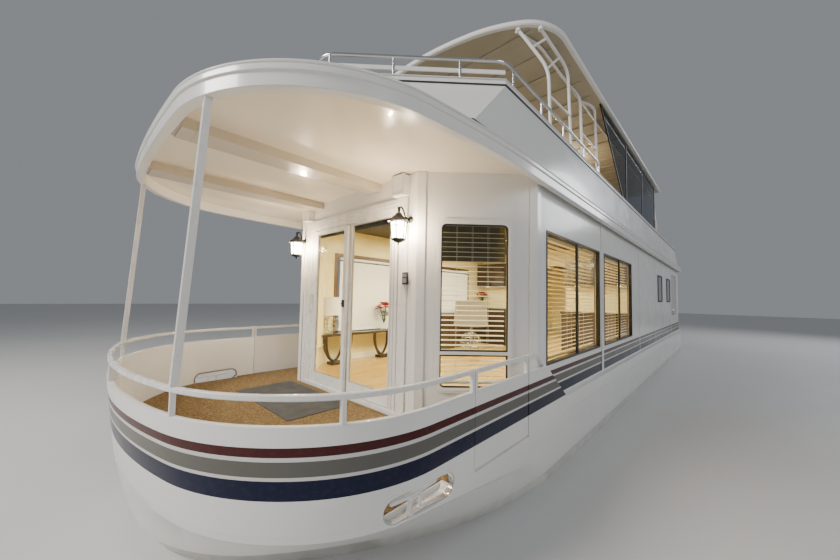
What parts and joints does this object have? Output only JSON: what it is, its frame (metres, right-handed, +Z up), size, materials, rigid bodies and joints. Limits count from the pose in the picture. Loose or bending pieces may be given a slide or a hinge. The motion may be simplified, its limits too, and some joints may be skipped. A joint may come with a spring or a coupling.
{
  "type": "houseboat",
  "caption": "Houseboat with a rounded bow cockpit, a full-beam cabin, a roof deck behind a sloped coaming and a hardtop on tube frames.",
  "frame": {"origin": "on the centreline at the waterline, 6.0 m aft of the cabin's front wall", "axes": "+X forward to the bow, +Y to port, +Z up; z = 0 is the waterline"},
  "size_m": [16.429, 4.081, 5.98],
  "materials": {
    "white_moulding": "gloss",
    "white_paint": "gloss",
    "cast_iron": "matte",
    "bronze": "satin",
    "stainless": "polished",
    "tan_carpet": "matte",
    "grey_mat": "matte",
    "wood": "satin",
    "dark_wood": "satin",
    "deck_moulding": "matte",
    "glass": "clear",
    "tinted_glass": "tinted",
    "black_plastic": "satin",
    "black_paint": "satin",
    "seat_vinyl": "satin"
  },
  "bodies": {
    "boat": {"hull": "white_moulding", "engine_port": "cast_iron", "engine_starboard": "cast_iron", "swim_platform": "white_moulding", "bow_bulwark": "white_moulding", "bow_rail": "white_paint", "gunwale_port": "white_moulding", "gunwale_starboard": "white_moulding", "stern_rail_port": "stainless", "stern_rail_starboard": "stainless", "roof_ladder": "stainless", "console_table": "dark_wood", "roof_post_port": "white_paint", "roof_post_starboard": "white_paint", "bow_cleat_port": "white_paint", "bow_cleat_starboard": "white_paint", "deck_carpet": "tan_carpet", "door_mat": "grey_mat", "cabin_sole": "wood", "aft_deck": "deck_moulding", "front_wall": "white_moulding", "corner_wall_port": "white_moulding", "corner_wall_starboard": "white_moulding", "corner_glass_port": "glass", "corner_glass_starboard": "glass", "side_wall_port": "white_moulding", "side_wall_starboard": "white_moulding", "side_glass_fore_port": "glass", "side_glass_fore_starboard": "glass", "side_glass_mid_port": "glass", "side_glass_mid_starboard": "glass", "aft_wall": "white_moulding", "door_frame": "white_paint", "door_fixed_glass": "glass", "roof_deck": "white_moulding", "roof_rim": "white_moulding", "upper_coaming": "white_moulding", "upper_rail": "stainless", "hardtop": "white_moulding", "hardtop_frame_port": "white_paint", "hardtop_frame_starboard": "white_paint", "deck_screen_port": "tinted_glass", "deck_screen_starboard": "tinted_glass", "helm_console": "white_moulding", "seat_pedestal": "stainless", "lantern_port": "black_paint", "lantern_starboard": "black_paint"},
    "port_gate": {"gate_port": "white_moulding"},
    "starboard_gate": {"gate_starboard": "white_moulding"},
    "front_slider": {"door_slider": "white_paint", "door_slider_glass": "glass"},
    "rear_door": {"aft_door": "white_moulding", "aft_door_glass": "glass"},
    "wheel": {"steering_wheel": "black_plastic"},
    "seat": {"helm_seat": "seat_vinyl"},
    "port_propeller": {"propeller_port": "bronze"},
    "starboard_propeller": {"propeller_starboard": "bronze"},
    "port_rudder": {"rudder_port": "stainless"},
    "starboard_rudder": {"rudder_starboard": "stainless"}
  },
  "joints": [
    {"name": "port_gate_hinge", "type": "hinge", "parent": "boat", "child": "port_gate", "pos_m": [6.2925, 1.987, 0.9], "axis": [0, 0, 1], "range_deg": [-90, 0]},
    {"name": "starboard_gate_hinge", "type": "hinge", "parent": "boat", "child": "starboard_gate", "pos_m": [6.2925, -1.987, 0.9], "axis": [0, 0, 1], "range_deg": [0, 90]},
    {"name": "front_door_slide", "type": "slide", "parent": "boat", "child": "front_slider", "axis": [0, 1, 0], "range_m": [0, 0.65]},
    {"name": "rear_door_hinge", "type": "hinge", "parent": "boat", "child": "rear_door", "pos_m": [-5.105, 0.85, 1.6], "axis": [0, 0, 1], "range_deg": [-90, 0]},
    {"name": "wheel_turn", "type": "hinge", "parent": "boat", "child": "wheel", "pos_m": [3.97, -0.9, 3.99], "axis": [-0.8944, 0, 0.4472], "range_deg": [-540, 540]},
    {"name": "seat_swivel", "type": "hinge", "parent": "boat", "child": "seat", "pos_m": [3.45, -0.9, 3.58], "axis": [0, 0, 1], "continuous": true},
    {"name": "port_propeller_spin", "type": "hinge", "parent": "boat", "child": "port_propeller", "pos_m": [-6.5, 0.9, -0.68], "axis": [1, 0, 0], "continuous": true},
    {"name": "starboard_propeller_spin", "type": "hinge", "parent": "boat", "child": "starboard_propeller", "pos_m": [-6.5, -0.9, -0.68], "axis": [1, 0, 0], "continuous": true},
    {"name": "port_rudder_turn", "type": "hinge", "parent": "boat", "child": "port_rudder", "pos_m": [-7, 0.9, -0.6], "axis": [0, 0, 1], "range_deg": [-35, 35]},
    {"name": "starboard_rudder_turn", "type": "hinge", "parent": "boat", "child": "starboard_rudder", "pos_m": [-7, -0.9, -0.6], "axis": [0, 0, 1], "range_deg": [-35, 35]}
  ],
  "couplings": [
    {"joint": "starboard_rudder_turn", "follows": "port_rudder_turn", "ratio": 1}
  ]
}
